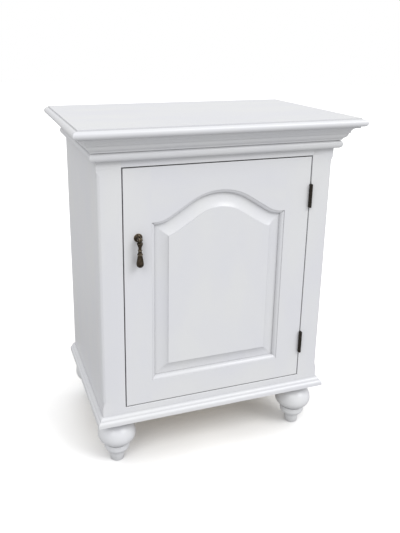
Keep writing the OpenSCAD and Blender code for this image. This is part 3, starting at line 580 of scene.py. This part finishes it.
# %% Place the screws
def place_copy(model, name, node, at, out, turn=0.0):
    """Copies a model, with a mesh of its own, to a place, its top facing along out."""
    copy = model.copy()
    copy.data = model.data.copy()
    copy.name = name
    bpy.context.collection.objects.link(copy)
    stand = out.to_track_quat("Z", "Y").to_matrix().to_4x4()
    copy.data.transform(Matrix.Translation(at) @ stand @ Matrix.Rotation(turn, 4, "Z"))
    fit_piece(copy, node)


DEGREES_APART = 37
for node in sorted(name for name in parts if "screws" in name):
    places = screw_places(node)
    length, shank, wide = places[0][2:]
    model = model_screw(length, shank, wide, node.startswith("hinge"))
    for number, (head, out, *_) in enumerate(places, 1):
        name = node.replace("screws", "screw") + "_" + str(number)
        place_copy(model, name, node, head, out, math.radians(DEGREES_APART * number))
    print(node, ":", len(places), "screws of", len(model.data.polygons), "faces")
    bpy.data.objects.remove(model)

# %% [markdown]
# ## Hinge pins
# The brass pins of small butt hinges are cut off and tapped to a low dome at both ends. A round bar of
# the pin's size gets a wide round on both rims. One is modelled and a copy goes to each hinge.

# %% Hinge pins
pin_low, pin_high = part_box("hinge_top_pin")
PIN_R = (pin_high.x - pin_low.x) / 2
PIN_L = pin_high.z - pin_low.z
bpy.ops.object.select_all(action="DESELECT")
bpy.ops.mesh.primitive_cylinder_add(vertices=32, radius=PIN_R, depth=PIN_L, location=(0, 0, 0))
pin = bpy.context.object
bpy.ops.object.mode_set(mode="EDIT")
pick_faces(pin, lambda face: abs(face.normal.z) > FACING)
bpy.ops.mesh.bevel(offset=0.6 * PIN_R, segments=5, profile=0.5)
bpy.ops.object.mode_set(mode="OBJECT")
bpy.ops.object.shade_smooth_by_angle(angle=SHARP)
for node in ("hinge_top_pin", "hinge_bottom_pin"):
    low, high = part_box(node)
    place_copy(pin, node + "_domed", node, (low + high) / 2, Vector((0, 0, 1)))
print("pins:", round(2 * PIN_R / MM, 2), "x", round(PIN_L / MM, 1), "mm")
bpy.data.objects.remove(pin)

# %% [markdown]
# ## Nut and washer
# A hexagon nut on a thin washer holds the pull behind the door. The six corners of a real nut are
# turned off on the outer face, so the nut is what a chamfered round blank and a hexagonal bar have in
# common.

# %% Nut and washer
nut_low, nut_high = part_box("pull_nut")
WASHER_R = (nut_high.x - nut_low.x) / 2
WASHER_T = 0.8 * MM
NUT_R = 5.5 * MM
NUT_T = nut_high.y - nut_low.y - WASHER_T
BORE_R = 2.42 * MM


def round_bar(radius, low, high, sides=48):
    bpy.ops.object.select_all(action="DESELECT")
    bpy.ops.mesh.primitive_cylinder_add(vertices=sides, radius=radius, depth=high - low,
                                        location=(0, 0, (low + high) / 2))
    bar = bpy.context.object
    bpy.ops.object.transform_apply(location=True)
    return bar


def round_rim(bar, width, segments):
    """Rounds the rim of the upper end face, or chamfers it where there is one segment."""
    bpy.context.view_layer.objects.active = bar
    bpy.ops.object.mode_set(mode="EDIT")
    pick_faces(bar, lambda face: face.normal.z > FACING)
    bpy.ops.mesh.bevel(offset=width, segments=segments, profile=0.5)
    bpy.ops.object.mode_set(mode="OBJECT")


nut = round_bar(NUT_R, WASHER_T, WASHER_T + NUT_T)
round_rim(nut, 0.6 * MM, 1)
combine(nut, round_bar(NUT_R, WASHER_T - MM, WASHER_T + NUT_T + MM, 6), "INTERSECT")
washer = round_bar(WASHER_R, 0, WASHER_T)
round_rim(washer, 0.2 * MM, 2)
for name, piece in (("pull_nut_hexagon", nut), ("pull_washer", washer)):
    combine(piece, round_bar(BORE_R, -MM, 2 * NUT_T), "DIFFERENCE")
    pick_up(piece)
    bpy.ops.object.shade_smooth_by_angle(angle=math.radians(25))
    seat = Vector(((nut_low.x + nut_high.x) / 2, nut_low.y, (nut_low.z + nut_high.z) / 2))
    place_copy(piece, name, "pull_nut", seat, Vector((0, 1, 0)), math.radians(12))
    print(name, ":", len(piece.data.polygons), "faces")
    bpy.data.objects.remove(piece)

# %% [markdown]
# ## Turned drop
# The drop of the pull is turned from one brass bar: a vase below the pivot, a slim neck with a small
# ring, a thin collar, and a long bulb. The turner's template is drawn point after point by extruding a
# vertex. Each point is a radius and a height from the pivot, in millimetres.

# %% Draw the turner's template
TEMPLATE = ((0, -2.2), (1.3, -2.2), (1.3, -5.1), (4.3, -5.1), (5, -5.4), (5.3, -6.2), (5.2, -7.4),
            (4.6, -9.2), (3.7, -11.4), (3, -13.4), (2.8, -15), (2.8, -16.6), (2.9, -17.8), (3.5, -18.1),
            (3.8, -18.7), (3.5, -19.3), (3, -19.6), (3.2, -22), (3.8, -24.4), (4.5, -25.1), (5.1, -25.7),
            (5.1, -26.1), (4.5, -26.6), (4, -27), (4.2, -28.6), (4.8, -32.4), (5.5, -36.4), (6.1, -40),
            (6.4, -42.6), (6.4, -43.8), (6.2, -45.2), (5.7, -46.6), (4.9, -47.8), (3.7, -48.8), (2.3, -49.6),
            (0.9, -49.95), (0, -50))
pivot_low, pivot_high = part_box("pull_pivot_pin")
PIVOT = (pivot_low + pivot_high) / 2

outline = bpy.data.meshes.new("pull_drop_turned")
outline.from_pydata([(TEMPLATE[0][0] * MM, 0, TEMPLATE[0][1] * MM)], [], [])
drop = bpy.data.objects.new("pull_drop_turned", outline)
bpy.context.collection.objects.link(drop)
pick_up(drop)
bpy.ops.object.mode_set(mode="EDIT")
bpy.ops.mesh.select_mode(type="VERT")
bpy.ops.mesh.select_all(action="SELECT")
for (last_r, last_z), (r, z) in zip(TEMPLATE, TEMPLATE[1:]):
    step = ((r - last_r) * MM, 0, (z - last_z) * MM)
    bpy.ops.mesh.extrude_vertices_move(TRANSFORM_OT_translate={"value": step})
print("template:", len(TEMPLATE), "points, from", TEMPLATE[0][1], "to", TEMPLATE[-1][1], "mm")

# %% [markdown]
# ## The drop's body and eye
# The template is spun once round the drop's axis, and the points that meet there and at the closing
# turn are merged. The eye that hangs in the fork is a flat disc of the same brass, so it is joined on,
# and the pin's hole is cut through it.

# %% Spin the drop and add its eye
EYE_R, EYE_T, EYE_BORE = 3.6 * MM, 2.8 * MM, 1.15 * MM
bpy.ops.mesh.select_all(action="SELECT")
bpy.ops.mesh.spin(steps=48, angle=math.tau, center=(0, 0, 0), axis=(0, 0, 1), use_auto_merge=True)
bpy.ops.mesh.select_all(action="SELECT")
bpy.ops.mesh.remove_doubles(threshold=0.01 * MM)
bpy.ops.mesh.normals_make_consistent(inside=False)
bpy.ops.object.mode_set(mode="OBJECT")
for radius, half, operation in ((EYE_R, EYE_T / 2, "UNION"), (EYE_BORE, EYE_T, "DIFFERENCE")):
    disc = round_bar(radius, -half, half)
    disc.data.transform(Matrix.Rotation(math.radians(90), 4, "Y"))
    combine(drop, disc, operation)
bpy.ops.object.mode_set(mode="EDIT")
bpy.ops.mesh.select_all(action="SELECT")
bpy.ops.mesh.dissolve_degenerate(threshold=0.005 * MM)
bpy.ops.object.mode_set(mode="OBJECT")
drop.data.transform(Matrix.Translation(PIVOT))
pick_up(drop)
bpy.ops.object.shade_smooth_by_angle(angle=math.radians(40))
fit_piece(drop, "pull_drop")
print("drop:", len(drop.data.polygons), "faces, long", round(drop.dimensions.z / MM, 1), "mm")

# %% [markdown]
# ## Floor
# The cupboard stands on a plain white floor, as in a catalogue, with a soft shadow under and behind it.
# The camera sees the floor brighter than it is, so that it runs out into pure white. Near the cupboard its
# colour is painted greyer too, a painted shadow on top of the real one.

# %% Floor
FLOOR_RADIUS = 9
FLOOR_IN_PAINTED_SHADOW, SEEN_IN_LIGHT = [0.86] * 3 + [1], [1.3] * 3 + [1]
bpy.ops.object.select_all(action="DESELECT")
bpy.ops.mesh.primitive_circle_add(vertices=96, radius=FLOOR_RADIUS, fill_type="NGON", location=(0, 0, 0))
floor = bpy.context.object
floor.name = "studio_floor"
floor_paint = new_finish("matte_white_floor")
# Painted shadow: the floor's colour turns grey where ambient occlusion finds the cupboard close.
near = add_node(floor_paint, "ShaderNodeAmbientOcclusion", {"samples": 8}, {"Distance": 150 * MM})
floor_with_painted_shadow = add_node(floor_paint, "ShaderNodeMix", {"data_type": "RGBA"}, {
    "Factor": remap(floor_paint, near.outputs["AO"], 0.35, 0.85, 0.0, 1.0),
    A: FLOOR_IN_PAINTED_SHADOW, B: SEEN_IN_LIGHT})
bright_floor = add_node(floor_paint, "ShaderNodeBsdfDiffuse", inputs={"Color": floor_with_painted_shadow.outputs[MIXED]})
dim_floor = add_node(floor_paint, "ShaderNodeBsdfDiffuse", inputs={"Color": linear("#b8b8b8")})
ray = add_node(floor_paint, "ShaderNodeLightPath")
either_floor = add_node(floor_paint, "ShaderNodeMixShader", inputs={
    0: ray.outputs["Is Camera Ray"], 1: dim_floor.outputs[0], 2: bright_floor.outputs[0]})
add_node(floor_paint, "ShaderNodeOutputMaterial", inputs={"Surface": either_floor.outputs[0]})
floor.data.materials.append(floor_paint)
print(floor.name, "is", 2 * FLOOR_RADIUS, "m across")

# %% [markdown]
# ## Light
# The light is soft: two very wide suns stand for large softboxes above the front corners, the right one
# stronger, and an even white surrounding fills the shadows.

# %% Light
FILL = 0.76
SOFTBOXES = {"softbox_right": (1.16, (0.6, -0.7, 0.8)), "softbox_left": (0.66, (-0.6, -0.7, 0.8))}
SOFTBOX_WIDTH = math.radians(30)
surroundings = bpy.data.worlds.new("white_surroundings")
bpy.context.scene.world = surroundings
surroundings.use_nodes = True
surroundings.node_tree.nodes.clear()
seen = add_node(surroundings, "ShaderNodeLightPath")
fill = add_node(surroundings, "ShaderNodeBackground", inputs={"Color": (1, 1, 1, 1), "Strength": FILL})
backdrop = add_node(surroundings, "ShaderNodeBackground", inputs={"Color": (1, 1, 1, 1), "Strength": 1.0})
both = add_node(surroundings, "ShaderNodeMixShader", inputs={
    0: seen.outputs["Is Camera Ray"], 1: fill.outputs[0], 2: backdrop.outputs[0]})
add_node(surroundings, "ShaderNodeOutputWorld", inputs={"Surface": both.outputs[0]})

for name, (strength, direction) in SOFTBOXES.items():
    box_data = bpy.data.lights.new(name, "SUN")
    box_data.energy = strength
    box_data.angle = SOFTBOX_WIDTH
    box = bpy.data.objects.new(name, box_data)
    bpy.context.collection.objects.link(box)
    box.rotation_euler = Vector(direction).to_track_quat("Z", "Y").to_euler()
    print(name, "strength", strength, "from", [round(v, 2) for v in Vector(direction).normalized()])

# %% [markdown]
# ## Camera
# The camera stands to the left of the cupboard's front, a little above its top, and looks down. Its
# focal length and turn were found by matching the corners of the door, the top and the base in the 400
# x 533 frame.

# %% Camera
IMAGE_WIDTH, IMAGE_HEIGHT = 400, 533
FOCAL_PX = 606.4
CENTRE_X, CENTRE_Y = 179.53, 215.28
CAMERA_AT = (-0.408039, -1.069507, 0.78708)
YAW, PITCH, ROLL = 0.338502, 0.293151, -0.009266

forward = Vector((math.sin(YAW) * math.cos(PITCH), math.cos(YAW) * math.cos(PITCH), -math.sin(PITCH)))
level = Vector((math.cos(YAW), -math.sin(YAW), 0))
down = forward.cross(level)
across = math.cos(ROLL) * level + math.sin(ROLL) * down
below = math.cos(ROLL) * down - math.sin(ROLL) * level
camera_data = bpy.data.cameras.new("camera")
camera_data.sensor_width = 36
camera_data.lens = FOCAL_PX / IMAGE_HEIGHT * camera_data.sensor_width
camera_data.shift_x = (IMAGE_WIDTH / 2 - CENTRE_X) / IMAGE_HEIGHT
camera_data.shift_y = (CENTRE_Y - IMAGE_HEIGHT / 2) / IMAGE_HEIGHT
camera = bpy.data.objects.new("camera", camera_data)
bpy.context.collection.objects.link(camera)
turned = Matrix((across, -below, -forward)).transposed().to_4x4()
camera.matrix_world = Matrix.Translation(CAMERA_AT) @ turned
bpy.context.scene.camera = camera
bpy.context.scene.view_settings.view_transform = "Standard"
print("lens:", round(camera_data.lens, 2), "mm")
